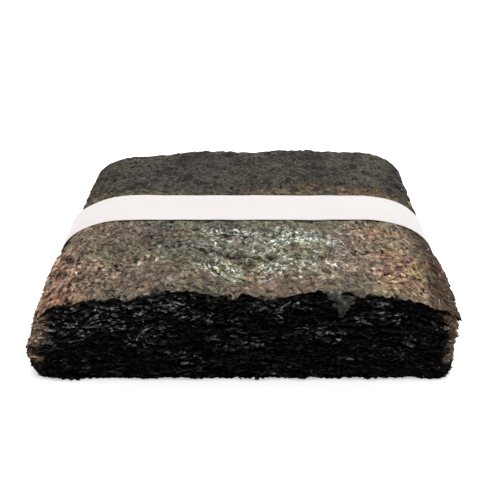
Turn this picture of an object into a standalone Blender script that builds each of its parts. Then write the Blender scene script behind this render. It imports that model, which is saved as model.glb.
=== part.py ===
"""A bundle of dried nori sheets, held by a white paper band round its middle.

X runs along the band, Y along the length of the sheets and Z up. The origin is on the
surface that the bundle lies on, under its middle. The front, seen first, is at -Y.

The pile is one family of surfaces: a level runs from 0 at the underside to 1 at the top,
and every sheet is the slab between two levels. The sheets therefore nest in each other
however the pile bends, and never meet.
"""

import math
import random

import bpy

MM = 0.001

# Driving dimensions
SHEET_WIDTH = 192 * MM
SHEET_LENGTH = 210 * MM
STACK_HEIGHT = 40 * MM
SHEET_COUNT = 50  # solids; each stands for two of the real sheets
GAP_SHARE = 0.5  # of each sheet's share of the height, left as air
LEVEL_SPREAD = 0.15  # how unequal the sheets' shares of the height are

BAND_WIDTH = 36 * MM
BAND_THICKNESS = 0.4 * MM
BAND_CENTRE_X = 1.2 * MM
BAND_CENTRE_Y = 8 * MM
BAND_CLEARANCE = 0.35 * MM
BAND_HALF_SPAN = 98.7 * MM  # inside, at its widest
BAND_HALF_FOOT = 95.5 * MM  # inside, at the foot
BAND_FOOT_BEVEL = 1.5 * MM
BAND_ARC_STEPS = 8
BAND_DIP = 1.2 * MM  # how far the band presses the top down
BAND_PULL_REACH = 46 * MM  # how far past the band that dip dies out
BAND_LIFT_HOLD = 0.375  # the underside starts to rise over the band where its hold is this

# The band pulls both long sides of the top down over a quarter of an ellipse.
SHOULDER_START = 62 * MM
SHOULDER_RUN = BAND_HALF_SPAN - SHOULDER_START
SHOULDER_FALL = 22 * MM
SHOULDER_END = 0.945  # share of its run past which the shoulder falls no further
FRONT_SHOULDER_SHARE = 0.75  # of that fall is left at the front end

# The rear left corner lies lower than the others.
REAR_CORNER_SAG = 4.5 * MM
SAG_START_X = -5 * MM
SAG_START_Y = 8 * MM
SAG_REACH_X = 75 * MM  # from where the sag starts to where it is full
SAG_REACH_Y = 85 * MM

# The front end rises a little, but for its corners, which sag.
FRONT_RISE = 1.8 * MM
FRONT_RISE_START = -45 * MM
FRONT_RISE_REACH = 60 * MM
FRONT_CORNER_SAG = 6.0 * MM
FRONT_SAG_START = 62 * MM
FRONT_SAG_REACH = 28 * MM

# How far each level of the pile has slipped sideways.
FOOT_SWAY = -0.2 * MM
MIDDLE_SWAY = -1.8 * MM
TOP_SWAY = 2.6 * MM
HELD_SWAY_SHARE = 0.4  # of that slip is left under the band
MIDDLE_LEVEL = 0.5
TOP_SHRINK = 0.026  # bent sheets span less than their own width by this share
FOOT_SHRINK = 0.018  # and the lowest ones are curled in
FRONT_FLARE = 0.022  # the top sheets are wider by this share where they are free at the front
FLARE_START_LEVEL = 0.7
FLARE_START_Y = -30 * MM
FLARE_REACH = 60 * MM
HELD_SPREAD = 3.7 * MM  # the lower sheets fill the band out by this much

SLIP = 0.7 * MM  # how far one sheet lies out of line with the next
TWIST_DEG = 0.3
RAGGED = 0.8 * MM  # how uneven a sheet's rim is
CORNER_WEAR = 3.0 * MM
CORNER_WEAR_RANGE = (0.85, 1.15)  # lowest and highest share of it
BAND_FIT_ROUNDS = 3  # of moving a rim point in until it is clear of the band

# Waves along the free ends of the uppermost sheets, which die out towards the band.
WAVE_HEIGHT = 2.0 * MM
WAVE_LENGTH = 59 * MM
WAVE_CREST_X = -29 * MM
REAR_WAVE_SHARE = 0.35
CRUMPLE = 0.7 * MM  # the top sheet's own crumpled face
CRUMPLE_LENGTH = 31 * MM
CRUMPLE_BEND = 0.7  # how much its folds wind
CRUMPLE_LEAN = 0.4  # how far they lean
CRUMPLE_CLOSENESS = 1.2  # how much closer they lie along the sheet than across it

# Where the pile is cut into cells, as shares of half the width and of half the length.
COLUMNS = (-1, -0.9, -0.8, -0.66, -0.3, 0, 0.3, 0.66, 0.8, 0.9, 1)
FRONT_ROW, REAR_ROW = -0.55, 0.66
ROW_MARGIN = 0.6 * MM  # the rows beside the band lie this far past its edges

SEED = 417

NORI_COLOUR = (0.062, 0.052, 0.036, 1)
NORI_ROUGHNESS = 0.5
PAPER_COLOUR = (0.87, 0.84, 0.83, 1)
PAPER_ROUGHNESS = 0.85
SHARP_ANGLE_DEG = 40


def smooth(t):
    """0 below 0, 1 above 1, and an even rise between them."""
    t = min(1.0, max(0.0, t))
    return t * t * (3 - 2 * t)


# The pile's shape


def band_hold(y):
    """1 under the band, falling to 0 where the pile is free of its pull."""
    past = abs(y - BAND_CENTRE_Y) - BAND_WIDTH / 2 - ROW_MARGIN
    return 1 - smooth(past / BAND_PULL_REACH)


def shoulder_drop(x, y):
    """How far the top falls away at distance x from the middle."""
    away = abs(x - BAND_CENTRE_X)
    share = min(SHOULDER_END, max(0.0, away - SHOULDER_START) / SHOULDER_RUN)
    freed = (1 - FRONT_SHOULDER_SHARE) * (1 - band_hold(y)) if y < 0 else 0.0
    return SHOULDER_FALL * (1 - freed) * (1 - math.sqrt(1 - share * share))


def corner_sag(x, y):
    leftward = smooth((SAG_START_X - x) / SAG_REACH_X)
    rearward = smooth((y - SAG_START_Y) / SAG_REACH_Y)
    return REAR_CORNER_SAG * leftward * rearward


def front_lift(x, y):
    forward = smooth((FRONT_RISE_START - y) / FRONT_RISE_REACH)
    sag = FRONT_CORNER_SAG * smooth((abs(x) - FRONT_SAG_START) / FRONT_SAG_REACH)
    return forward * (FRONT_RISE - sag)


def top_height(x, y):
    plain = STACK_HEIGHT - BAND_DIP * band_hold(y)
    return plain - shoulder_drop(x, y) - corner_sag(x, y) + front_lift(x, y)


def foot_height(x, y):
    """The underside: flat on the surface, but raised to lie over the band."""
    rise = (band_hold(y) - BAND_LIFT_HOLD) / (1 - BAND_LIFT_HOLD)
    return (BAND_THICKNESS + BAND_CLEARANCE) * smooth(rise)


def end_wave(x, y):
    """What the waves of the free ends add to the height of the topmost sheet."""
    crest = WAVE_HEIGHT * (REAR_WAVE_SHARE if y > 0 else 1.0)
    return crest * (1 - band_hold(y)) * math.cos(2 * math.pi * (x - WAVE_CREST_X) / WAVE_LENGTH)


def grid_x():
    return [column * SHEET_WIDTH / 2 for column in COLUMNS]


def grid_y():
    """The pile's cross lines: its ends, a line beside each edge of the band, and one between."""
    near = BAND_CENTRE_Y - BAND_WIDTH / 2 - ROW_MARGIN
    far = BAND_CENTRE_Y + BAND_WIDTH / 2 + ROW_MARGIN
    end = SHEET_LENGTH / 2
    return [-end, FRONT_ROW * end, near, far, REAR_ROW * end, end]


def cell(lines, place):
    """The number of the space between two lines that a place is in, or is nearest to."""
    passed = [i for i in range(1, len(lines) - 1) if place >= lines[i]]
    return passed[-1] if passed else 0


def facet_height(height, x, y):
    """The height at (x, y) of the facets that the grid's own points make.

    Every sheet takes its heights from the same facets, so two sheets whose rims differ
    still lie flush. Past the grid's edge the outer facets run on."""
    xs, ys = grid_x(), grid_y()
    i, j = cell(xs, x), cell(ys, y)
    u = (x - xs[i]) / (xs[i + 1] - xs[i])
    v = (y - ys[j]) / (ys[j + 1] - ys[j])
    a, c = height(xs[i], ys[j]), height(xs[i + 1], ys[j + 1])
    if u >= v:
        b = height(xs[i + 1], ys[j])
        return a + (b - a) * u + (c - b) * v
    d = height(xs[i], ys[j + 1])
    return a + (d - a) * v + (c - d) * u


def pile_height(x, y, level):
    low = facet_height(foot_height, x, y)
    plain = low + (facet_height(top_height, x, y) - low) * level
    return plain + facet_height(end_wave, x, y) * level**3


def level_edges():
    """The levels between the sheets, from 0 to 1, at uneven steps."""
    draw = random.Random(SEED)
    steps = [1 + draw.uniform(-LEVEL_SPREAD, LEVEL_SPREAD) for _ in range(SHEET_COUNT)]
    edges = [0.0]
    for step in steps:
        edges.append(edges[-1] + step / sum(steps))
    return edges


def sway(level):
    """How far the sheets of a level have slipped sideways."""
    if level < MIDDLE_LEVEL:
        return FOOT_SWAY + (MIDDLE_SWAY - FOOT_SWAY) * smooth(level / MIDDLE_LEVEL)
    rise = (level - MIDDLE_LEVEL) / (1 - MIDDLE_LEVEL)
    return MIDDLE_SWAY + (TOP_SWAY - MIDDLE_SWAY) * smooth(rise)


def span_share(level):
    """What a sheet spans, as a share of its flat width."""
    above = max(0.0, level - MIDDLE_LEVEL) / (1 - MIDDLE_LEVEL)
    below = max(0.0, MIDDLE_LEVEL - level) / MIDDLE_LEVEL
    return 1 - TOP_SHRINK * above**2 - FOOT_SHRINK * below**2


def flare(y, level):
    """How much wider a sheet is where the band doesn't hold it, at the front."""
    high = smooth((level - FLARE_START_LEVEL) / (1 - FLARE_START_LEVEL))
    return 1 + FRONT_FLARE * high * smooth((FLARE_START_Y - y) / FLARE_REACH)


# The band, seen along Y


def band_half_line():
    """The band's inner face on its +X side, from the foot up to the flat top.

    Each point is (x, z), with x measured from the band's own middle."""
    crown = STACK_HEIGHT - BAND_DIP + BAND_CLEARANCE
    line = [
        (BAND_HALF_FOOT - BAND_FOOT_BEVEL, BAND_THICKNESS),
        (BAND_HALF_FOOT, BAND_THICKNESS + BAND_FOOT_BEVEL),
    ]
    for step in range(BAND_ARC_STEPS + 1):
        turn = math.radians(90 * step / BAND_ARC_STEPS)
        x = SHOULDER_START + SHOULDER_RUN * math.cos(turn)
        line.append((x, crown - SHOULDER_FALL * (1 - math.sin(turn))))
    return line


def band_inner_x(z):
    """Half the width inside the band at height z."""
    line = band_half_line()
    for (x_low, z_low), (x_high, z_high) in zip(line, line[1:]):
        if z <= z_high:
            return x_low + (x_high - x_low) * (z - z_low) / (z_high - z_low)
    return SHOULDER_START


def band_line():
    """(x, z) of the band's inner face, once round from the middle of the underside."""
    half = band_half_line()
    middle_top = (0.0, half[-1][1])
    line = [(0.0, BAND_THICKNESS), *half, middle_top, *[(-x, z) for x, z in reversed(half)]]
    return [(BAND_CENTRE_X + x, z) for x, z in line]


# One sheet


def split_lines(lines):
    """The same lines with one more half way between each two."""
    halves = [(a + b) / 2 for a, b in zip(lines, lines[1:])]
    return sorted([*lines, *halves])


def within_band(x, y, low, high, room):
    """The place on a line across the pile, moved in so that it is clear of the band."""
    for _ in range(BAND_FIT_ROUNDS):
        reach = min(band_inner_x(pile_height(x, y, at)) for at in (low, high))
        reach -= BAND_CLEARANCE + room
        x = max(BAND_CENTRE_X - reach, min(BAND_CENTRE_X + reach, x))
    return x


def outward(place, length):
    """1 or -1 on an edge of the plain rectangle, across one axis, and 0 inside it."""
    return math.copysign(1, place) if math.isclose(abs(place), length / 2) else 0


def rim_point(x, y, low, high, draw, slip, twist):
    """Where a point on the rim of the plain rectangle lies on the sheet between two levels.

    A point on a side moves along its own line of the grid, so it stays on the facets."""
    level = (low + high) / 2
    outward_x = outward(x, SHEET_WIDTH)
    outward_y = outward(y, SHEET_LENGTH)
    ragged = draw.uniform(-RAGGED, RAGGED)
    if band_hold(y) == 1:
        if not outward_x:
            return x, y
        x = x * span_share(level) + HELD_SWAY_SHARE * sway(level) + BAND_CENTRE_X
        x += outward_x * (HELD_SPREAD * (1 - level * level) + ragged)
        return within_band(x, y, low, high, abs(ragged)), y
    if outward_x and outward_y:
        ragged = -CORNER_WEAR * draw.uniform(*CORNER_WEAR_RANGE)
    if outward_x:
        x = x * span_share(level) * flare(y, level) + outward_x * ragged
        x += sway(level) + slip[0] - twist * y
    if outward_y:
        y += outward_y * ragged + slip[1] + twist * x
    return x, y


def crumple(x, y):
    """The top sheet's own relief, which only ever lifts it off the pile."""
    turn_x, turn_y = 2 * math.pi * x / CRUMPLE_LENGTH, 2 * math.pi * y / CRUMPLE_LENGTH
    across = math.sin(turn_x + CRUMPLE_BEND * math.sin(turn_y))
    along = math.cos(CRUMPLE_CLOSENESS * turn_y + CRUMPLE_LEAN * turn_x)
    return CRUMPLE * (1 - band_hold(y)) * (1 + across * along) / 2


def sheet_points(xs, ys, low, high, draw, crumpled):
    """The points of the sheet's upper face, row by row, and then those of its lower face."""
    slip = (draw.uniform(-SLIP, SLIP), draw.uniform(-SLIP, SLIP))
    twist = math.radians(draw.uniform(-TWIST_DEG, TWIST_DEG))
    upper, lower = [], []
    for row, y_line in enumerate(ys):
        for column, x_line in enumerate(xs):
            x, y = x_line, y_line
            if row in (0, len(ys) - 1) or column in (0, len(xs) - 1):
                x, y = rim_point(x, y, low, high, draw, slip, twist)
            lift = crumple(x, y) if crumpled else 0.0
            upper.append((x, y, pile_height(x, y, high) + lift))
            lower.append((x, y, pile_height(x, y, low) + lift))
    return upper + lower


def sheet_faces(columns, rows):
    """Triangles of the closed sheet: both faces split alike, and a wall round the rim."""
    under = columns * rows
    faces = []
    for j in range(rows - 1):
        for i in range(columns - 1):
            a = j * columns + i
            b, c, d = a + 1, a + columns + 1, a + columns
            faces += [(a, b, c), (a, c, d)]
            faces += [(under + c, under + b, under + a), (under + d, under + c, under + a)]
    rim = list(range(columns))
    rim += [j * columns + columns - 1 for j in range(1, rows)]
    rim += [(rows - 1) * columns + i for i in range(columns - 2, -1, -1)]
    rim += [j * columns for j in range(rows - 2, 0, -1)]
    for a, b in zip(rim, rim[1:] + rim[:1]):
        faces += [(b, a, under + a), (b, under + a, under + b)]
    return faces


# Scene objects


def material(name, colour, roughness):
    made = bpy.data.materials.new(name)
    made.use_nodes = True
    shader = made.node_tree.nodes["Principled BSDF"]
    shader.inputs["Base Color"].default_value = colour
    shader.inputs["Roughness"].default_value = roughness
    shader.inputs["Metallic"].default_value = 0.0
    return made


def mesh_object(name, points, faces, finish):
    mesh = bpy.data.meshes.new(name)
    mesh.from_pydata(points, [], faces)
    mesh.materials.append(finish)
    mesh.shade_smooth()
    mesh.set_sharp_from_angle(angle=math.radians(SHARP_ANGLE_DEG))
    made = bpy.data.objects.new(name, mesh)
    bpy.context.scene.collection.objects.link(made)
    return made


def make_sheets(finish):
    edges = level_edges()
    for number in range(1, SHEET_COUNT + 1):
        draw = random.Random(SEED + number)
        low, high = edges[number - 1], edges[number]
        if number > 1:
            low += GAP_SHARE * (high - low)
        xs, ys = grid_x(), grid_y()
        topmost = number == SHEET_COUNT
        if topmost:
            xs, ys = [xs[0], *split_lines(xs[1:-1]), xs[-1]], split_lines(ys)
        points = sheet_points(xs, ys, low, high, draw, topmost)
        mesh_object(f"sheet_{number:02d}", points, sheet_faces(len(xs), len(ys)), finish)


def make_band(finish):
    """A ribbon along the band's inner line, thickened outwards."""
    line = band_line()
    count = len(line)
    ends = (BAND_CENTRE_Y - BAND_WIDTH / 2, BAND_CENTRE_Y + BAND_WIDTH / 2)
    points = [(x, y, z) for y in ends for x, z in line]
    faces = [(i, count + i, count + (i + 1) % count, (i + 1) % count) for i in range(count)]
    band = mesh_object("paper_band", points, faces, finish)
    paper = band.modifiers.new("paper", "SOLIDIFY")
    paper.thickness = BAND_THICKNESS
    paper.offset = 1.0
    paper.use_even_offset = True


def main():
    for old in list(bpy.data.objects):
        bpy.data.objects.remove(old)
    make_sheets(material("nori", NORI_COLOUR, NORI_ROUGHNESS))
    make_band(material("paper", PAPER_COLOUR, PAPER_ROUGHNESS))


main()
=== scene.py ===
"""Looks of the banded bundle of nori sheets: about a hundred thin ragged sheets, a top sheet
of pressed laver blades, a white paper band, and a plain pale studio. Metres, +Z up."""

import math

import bmesh
import bpy
import numpy as np
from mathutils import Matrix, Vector


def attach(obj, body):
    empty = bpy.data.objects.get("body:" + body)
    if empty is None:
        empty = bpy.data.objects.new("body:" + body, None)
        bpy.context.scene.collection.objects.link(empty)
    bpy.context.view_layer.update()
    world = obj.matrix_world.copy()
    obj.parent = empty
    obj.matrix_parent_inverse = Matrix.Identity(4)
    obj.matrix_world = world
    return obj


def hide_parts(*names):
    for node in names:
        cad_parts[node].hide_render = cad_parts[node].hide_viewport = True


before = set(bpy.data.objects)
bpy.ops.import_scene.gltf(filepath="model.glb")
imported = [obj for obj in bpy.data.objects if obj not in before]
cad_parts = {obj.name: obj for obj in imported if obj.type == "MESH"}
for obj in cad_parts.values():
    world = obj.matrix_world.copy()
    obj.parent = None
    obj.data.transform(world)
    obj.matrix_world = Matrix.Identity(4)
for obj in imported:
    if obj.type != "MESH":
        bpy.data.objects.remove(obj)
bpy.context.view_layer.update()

MM = 0.001
SEED = 417

# The pile, as the solids have it. A pair is where something starts, and its reach from there
SHEET_WIDTH = 192 * MM
SHEET_LENGTH = 210 * MM
STACK_HEIGHT = 40 * MM
BAND_WIDTH = 36 * MM
BAND_THICKNESS = 0.4 * MM
BAND_CENTRE_X = 1.2 * MM
BAND_CENTRE_Y = 8 * MM
BAND_CLEARANCE = 0.35 * MM
BAND_HALF_SPAN = 98.7 * MM
BAND_HALF_FOOT = 95.5 * MM
BAND_FOOT_BEVEL = 1.5 * MM
BAND_DIP = 1.2 * MM
BAND_PULL_REACH = 46 * MM
BAND_ROOM = 0.75 * MM  # from the surface to the lowest sheet, over the band
SHOULDER_START = 62 * MM
SHOULDER_RUN = BAND_HALF_SPAN - SHOULDER_START
SHOULDER_FALL = 22 * MM
SHOULDER_STRAIGHT = 0.93  # past this share of its run the shoulder falls on straight
FRONT_SHOULDER_SHARE = 0.75
REAR_CORNER_SAG = 3.3 * MM
SAG_X = (5 * MM, 75 * MM)
SAG_Y = (8 * MM, 85 * MM)
FRONT_RISE = 1.8 * MM
FRONT_RISE_Y = (45 * MM, 60 * MM)
FRONT_CORNER_SAG = 6 * MM
FRONT_SAG_X = (62 * MM, 28 * MM)
FRONT_FLARE = 0.022
FLARE_LEVEL = (0.7, 0.3)
FLARE_Y = (30 * MM, 60 * MM)
FOOT_SWAY = -0.2 * MM
MIDDLE_SWAY = -1.8 * MM
TOP_SWAY = 2.6 * MM
HELD_SWAY_SHARE = 0.4
MIDDLE_LEVEL = 0.5
TOP_LEVEL = 1.0
TOP_SHRINK = 0.026
FOOT_SHRINK = 0.018
HELD_SPREAD = 3.7 * MM
WAVE_HEIGHT = 2.0 * MM
WAVE_LENGTH = 59 * MM
WAVE_CREST_X = -29 * MM
REAR_WAVE_SHARE = 0.35
CORNER_RADIUS = 9 * MM
SLIP = 0.7 * MM
TWIST = math.radians(0.25)

# Rises and dips of the front rim: place, reach and height in mm
RIM_WAVES = ((1, 6, 1.8), (15, 7, -1.8), (33, 6, -1.6), (55, 8, 2.0), (-50, 9, -0.6))
RIM_WAVES_Y = (86 * MM, 17 * MM)
# At the front right corner the middle sheets stand out, and the upper ones lie further in
CORNER_OUT, CORNER_OUT_LEVEL = 0.6 * MM, (0.3, 0.2)
CORNER_IN, CORNER_IN_LEVEL = 3.2 * MM, (0.68, 0.2)
CORNER_X, CORNER_Y = (0, 90 * MM), (55 * MM, 40 * MM)

# The real sheets
REAL_SHEETS = 100
SHEET_SHARE = 0.6  # of a sheet's share of the height is nori, and the rest is air
LEVEL_SPREAD = 0.45
RIM_STEPS = (0.7 * MM, 1.5 * MM, 1.6 * MM, 1.5 * MM)  # between points: front, right, rear, left
CORNER_POINTS = 10
RIM_ROOM = 0.3 * MM  # between a rim and the band
RIM_HELD = (1 * MM, 4 * MM)  # from the band's edge, over which its hold on a rim ends
HIDDEN_DROP = 0.8 * MM  # how far the coarse middles of the sheets lie under the top sheet
RIM_FADE = 5 * MM  # how far in from its rim a sheet's unevenness dies out
RING_INSETS = ((0.0, 1), (2 * MM, 2), (7 * MM, 4), (17 * MM, 8), (36 * MM, 8))
PILE_GROUPS = ((1, 12), (13, 24), (25, 37), (38, 49))  # solids that one piece stands for

# Small plates: torn bits at the edges, and loose blades on the top
PLATE_THICKNESS = 0.06 * MM
FRONT_CHIPS = 5600
SIDE_CHIPS = 1500
REAR_CHIPS = 900
LOOSE_BLADES = 1500
CHIP_ROOM = 4 * MM  # from the band's edge to the nearest chip
BLADE_ROOM = 2.5 * MM  # and to the nearest loose blade

# The top sheet
TOP_COLUMNS = 312
TOP_ROW_STEPS = ((-1.0, -0.11, 190), (-0.11, 0.26, 14), (0.26, 1.0, 92))
TOP_THICKNESS = 0.3 * MM
UNDERSIDE_STEP = 8  # the underside has a point for every so many of the top
BLADES = 7000
DEPTH_BIAS = 1.9  # blades lie more along the sheet's length than across it
BAND_DENT = 0.25 * MM  # how far the band presses into the top sheet
DENT_EDGE = (-1 * MM, 3 * MM)  # from the band's edge, over which the dent ends
TEAR_OUT, TEAR_IN = 0.9 * MM, 1.8 * MM  # the furthest that its torn rim reaches
CURL_UP, CURL_DOWN = 0.9 * MM, 0.7 * MM
RIM_CURL_FADE = 2.2 * MM
REAR_END = 0.9  # past this share of its half length the sheet ends quietly
# Sharp folds, from one end to the other, in mm
FOLDS = (
    ((-24, -54), (3, -58)),
    ((-40, -50), (-27, -53)),
    ((3, -60), (12, -59)),
    ((-17, -77), (-3, -85)),
    ((-70, -66), (-60, -68)),
    ((52, -52), (66, -50)),
    ((60, -82), (70, -70)),
)
FURROW_DEPTH, FURROW_WIDTH = 0.7 * MM, 1.1 * MM
LIP_HEIGHT, LIP_WIDTH, LIP_AWAY = 0.45 * MM, 1.3 * MM, 2.2 * MM

# The torn tongue that hangs at the front
FLAP_X = 42.8 * MM
FLAP_HALF_WIDTH = 6 * MM
FLAP_TIP_Z = 32 * MM
FLAP_LIP = 0.1  # share of its length that lies under the top sheet
FLAP_BACK = (0, 0.16 * MM, -0.05 * MM)  # from its face to its back

# The band
BAND_STEPS = 420
BAND_COLUMNS = 37
BAND_PAPER = 0.28 * MM  # its thickness here, a little less than the solid's
BAND_EDGE_WAVE = 0.15 * MM
BAND_WAVE = 0.13 * MM
BAND_FLAT_FOOT = 5 * MM  # below this height it doesn't wave

# Fields on the nori, in metres: where each starts and where it is full
SIDE_FIELD = (0.035, 0.085)
FRONT_FIELD = (-0.055, -0.1)
REAR_FIELD = (0.0, 0.045)

# Colours of laver from dark to pale, by their place on a scale of 0 to 1
COOL_NORI = (
    (0.00, (0.012, 0.010, 0.007)),
    (0.20, (0.058, 0.049, 0.036)),
    (0.38, (0.106, 0.089, 0.066)),
    (0.54, (0.146, 0.127, 0.085)),
    (0.68, (0.180, 0.160, 0.108)),
    (0.82, (0.220, 0.212, 0.148)),
    (0.93, (0.310, 0.320, 0.250)),
    (1.00, (0.560, 0.600, 0.510)),
)
WARM_NORI = (
    (0.00, (0.014, 0.008, 0.005)),
    (0.20, (0.074, 0.044, 0.029)),
    (0.38, (0.136, 0.085, 0.059)),
    (0.54, (0.180, 0.121, 0.080)),
    (0.68, (0.226, 0.150, 0.095)),
    (0.82, (0.262, 0.190, 0.116)),
    (0.93, (0.355, 0.270, 0.180)),
    (1.00, (0.560, 0.470, 0.380)),
)
# Faint patches of other hues: size as a noise scale, a height that sets them apart, how rare,
# and the tint
NORI_TINTS = (
    (34, 0.3, 0.50, (1.07, 0.96, 0.88)),
    (28, 0.7, 0.50, (1.04, 0.94, 1.00)),
    (40, 1.1, 0.52, (0.98, 1.02, 0.88)),
    (36, 1.7, 0.52, (0.92, 1.00, 1.00)),
    (120, 2.3, 0.66, (1.18, 0.94, 0.74)),
    (120, 2.9, 0.67, (0.98, 1.05, 0.86)),
)
# Stains of other hues, and patches of painted light and painted shade: place and reach in mm, and the tint
STAINS_AND_PAINTED_LIGHT = (
    (-27, -29, 14, 13, (1.20, 1.04, 0.68)),
    (46, -36, 18, 20, (0.90, 1.00, 1.14)),
    (-66, -46, 20, 22, (0.86, 1.00, 0.98)),
    (5, -84, 6, 11, (1.26, 0.86, 0.50)),
    (7, -66, 6, 5, (1.15, 1.25, 0.40)),
    (13, -93, 8, 7, (0.96, 0.82, 0.95)),
    (-11, -55, 17, 5, (0.52, 0.42, 0.38)),
    (68, -32, 20, 18, (1.10, 0.97, 0.88)),
    (62, -92, 18, 14, (1.10, 0.98, 0.84)),
    (-72, -92, 22, 16, (1.16, 1.00, 0.92)),
    (-86, -70, 22, 36, (2.00, 1.70, 1.70)),
    (72, -74, 13, 40, (1.62, 1.34, 1.24)),
    (-46, -46, 34, 24, (0.58, 0.57, 0.60)),
    (-66, -66, 16, 14, (1.20, 1.20, 1.20)),
    (-30, -78, 10, 9, (0.62, 0.62, 0.58)),
    (28, -44, 17, 18, (1.42, 1.54, 1.60)),
    (40, -74, 16, 18, (1.48, 1.46, 1.46)),
    (60, -78, 10, 9, (1.42, 1.36, 1.34)),
    (22, -35, 22, 18, (1.12, 1.40, 1.46)),
    (-52, -22, 38, 13, (0.78, 0.89, 1.06)),
    (3, -59, 15, 13, (0.46, 0.39, 0.30)),
    (-18, -78, 12, 11, (1.30, 1.30, 1.32)),
    (38, 36, 32, 16, (1.20, 0.99, 0.80)),
    (68, 34, 20, 14, (1.32, 1.04, 0.78)),
    (-40, 72, 48, 38, (1.00, 0.94, 1.05)),
    (-60, 32, 34, 10, (1.12, 1.06, 0.78)),
    (34, 92, 26, 8, (0.62, 0.62, 0.62)),
    (-22, 40, 38, 13, (0.74, 0.70, 0.78)),
    (-64, 62, 22, 16, (1.24, 1.20, 1.24)),
    (19, 86, 14, 10, (1.26, 1.24, 1.20)),
    (-26, 88, 32, 11, (0.80, 0.78, 0.82)),
    (74, 62, 17, 16, (1.25, 1.22, 1.18)),
    (80, -74, 5, 12, (0.92, 1.04, 0.68)),
)
# Where the sheet shines most, both glossier and with painted highlights in its colour: place and reach in
# mm, and how strongly
GLINTS = (
    (-8, -31, 24, 15, 1.0),
    (25, -31, 17, 15, 1.0),
    (18, -71, 26, 24, 0.8),
    (-9, -75, 17, 21, 0.85),
    (42, -70, 8, 9, 0.8),
    (-77, -77, 4, 6, 1.0),
    (10, -48, 60, 40, 0.45),
)
# the spot of the strongest gloss and painted highlight
FLASH = (24, -34, 17, 17)  # and the brightest spot of all
# Layers of blades in the top sheet, lowest first: heading in degrees from across the sheet,
# length and width of a cell in mm, and how much of its cell a blade fills
BLADE_LAYERS = (
    (85, 19.0, 8.5, 0.62),
    (30, 13.0, 8.0, 0.56),
    (125, 13.0, 6.8, 0.54),
    (95, 11.0, 5.6, 0.50),
    (50, 9.0, 4.6, 0.46),
    (140, 8.0, 3.8, 0.42),
    (100, 7.5, 3.0, 0.38),
)
# Narrow blades that are painted pale as highlights, with the same columns
GLINT_LAYERS = (
    (72, 10.0, 1.9, 0.36),
    (106, 9.0, 1.8, 0.36),
    (15, 4.6, 3.2, 0.30),
    (160, 4.2, 2.8, 0.30),
)
BLADE_STEP = 0.05 * MM  # how far a blade stands up from those under it
BLADE_CAMBER = 0.10 * MM
# painted highlight: the pale colour of the shining blades
PAINTED_GLINT_COLOUR = (0.80, 0.88, 0.82, 1)
# painted shade in the hollows of the relief
HOLLOW_SHADE_COLOUR = (0.012, 0.008, 0.005, 1)
GAP_COLOUR = (0.006, 0.004, 0.003, 1)
# painted shade where the sheet turns down
MARGIN_SHADE_TINT = (0.26, 0.18, 0.15)
SMOKE_TINT = (1.02, 0.98, 1.07)
FLAP_TINT = (0.86, 1.0, 1.05)
# near-black edges, partly painted shade, and a paler one that is painted light
EDGE_DARK_AND_SHADED = (0.0028, 0.0028, 0.0028, 1)
EDGE_LIT_PALER = (0.0075, 0.0072, 0.0066, 1)
EDGE_FLECK = (0.009, 0.009, 0.0085, 1)
# pale torn bits, their paleness partly painted highlight
CHIP_PALE_SHEEN_COOL = (0.225, 0.250, 0.238, 1)
CHIP_PALE_SHEEN_WARM = (0.240, 0.212, 0.190, 1)
PAPER_COLOURS = (0.70, 0.66, 0.662, 1), (0.715, 0.677, 0.68, 1)
FLOOR_COLOURS = (0.90, 0.90, 0.90, 1), (0.93, 0.93, 0.93, 1)

# The studio
FLOOR_HALF_SIZE = 6.0
FLOOR_Z = -0.2 * MM
DOME_COLOUR = (1.0, 0.99, 0.97, 1)
DOME_RISE = (0.45, 0.9)  # heights on the sky dome, of radius 1, between which it brightens
DOME_GLOW = (0.06, 0.56)  # its brightness below and above them
# Lights: place, what they aim at, size, power and colour
LIGHTS = {
    "overhead": ((0.0, -0.25, 1.4), (0, 0, 0), (1.2, 0.9), 5.3, (1, 1, 1)),
    "key": ((0.1, 1.05, 0.95), (0, 0, 0), (1.5, 0.6), 18.5, (1.0, 0.99, 0.97)),
    "left": ((-1.2, -0.15, 0.45), (0, 0, 0.02), (0.8, 0.5), 5.6, (1, 1, 1)),
    "right": ((1.2, -0.15, 0.45), (0, 0, 0.02), (0.8, 0.5), 5.0, (1, 1, 1)),
}
CAMERA_PLACE = (0.003, -0.4985, 0.2335)
CAMERA_PITCH = 23.4  # degrees below level
SENSOR_WIDTH = 36
LENS_PER_SENSOR = 1005 / 500  # the photo's focal length over its width, both in pixels


# Shared shapes


def smooth(t):
    """0 below 0, 1 above 1, and an even rise between them."""
    t = np.clip(t, 0.0, 1.0)
    return t * t * (3 - 2 * t)


def past(value, start, reach):
    """0 up to a start, rising to 1 over the reach beyond it."""
    return smooth((value - start) / reach)


def unit(vectors):
    return vectors / np.linalg.norm(vectors, axis=-1, keepdims=True)


def band_gap(y):
    """How far from the band's nearer edge a place lies: below 0 where it is under the band."""
    return np.abs(y - BAND_CENTRE_Y) - BAND_WIDTH / 2


def band_hold(y):
    """1 under the band, falling to 0 where the pile is free of its pull."""
    return 1 - past(band_gap(y), 0, BAND_PULL_REACH)


def shoulder_drop(x, y):
    """How far the sides lie below the flat top: less at the front, free of the band."""
    share = np.maximum(0.0, np.abs(x - BAND_CENTRE_X) - SHOULDER_START) / SHOULDER_RUN
    curved = np.minimum(share, SHOULDER_STRAIGHT)
    slope = SHOULDER_STRAIGHT / math.sqrt(1 - SHOULDER_STRAIGHT**2)
    fall = 1 - np.sqrt(1 - curved**2) + (share - curved) * slope
    freed = (1 - FRONT_SHOULDER_SHARE) * (1 - band_hold(y)) * (y < 0)
    return SHOULDER_FALL * (1 - freed) * fall


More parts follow.
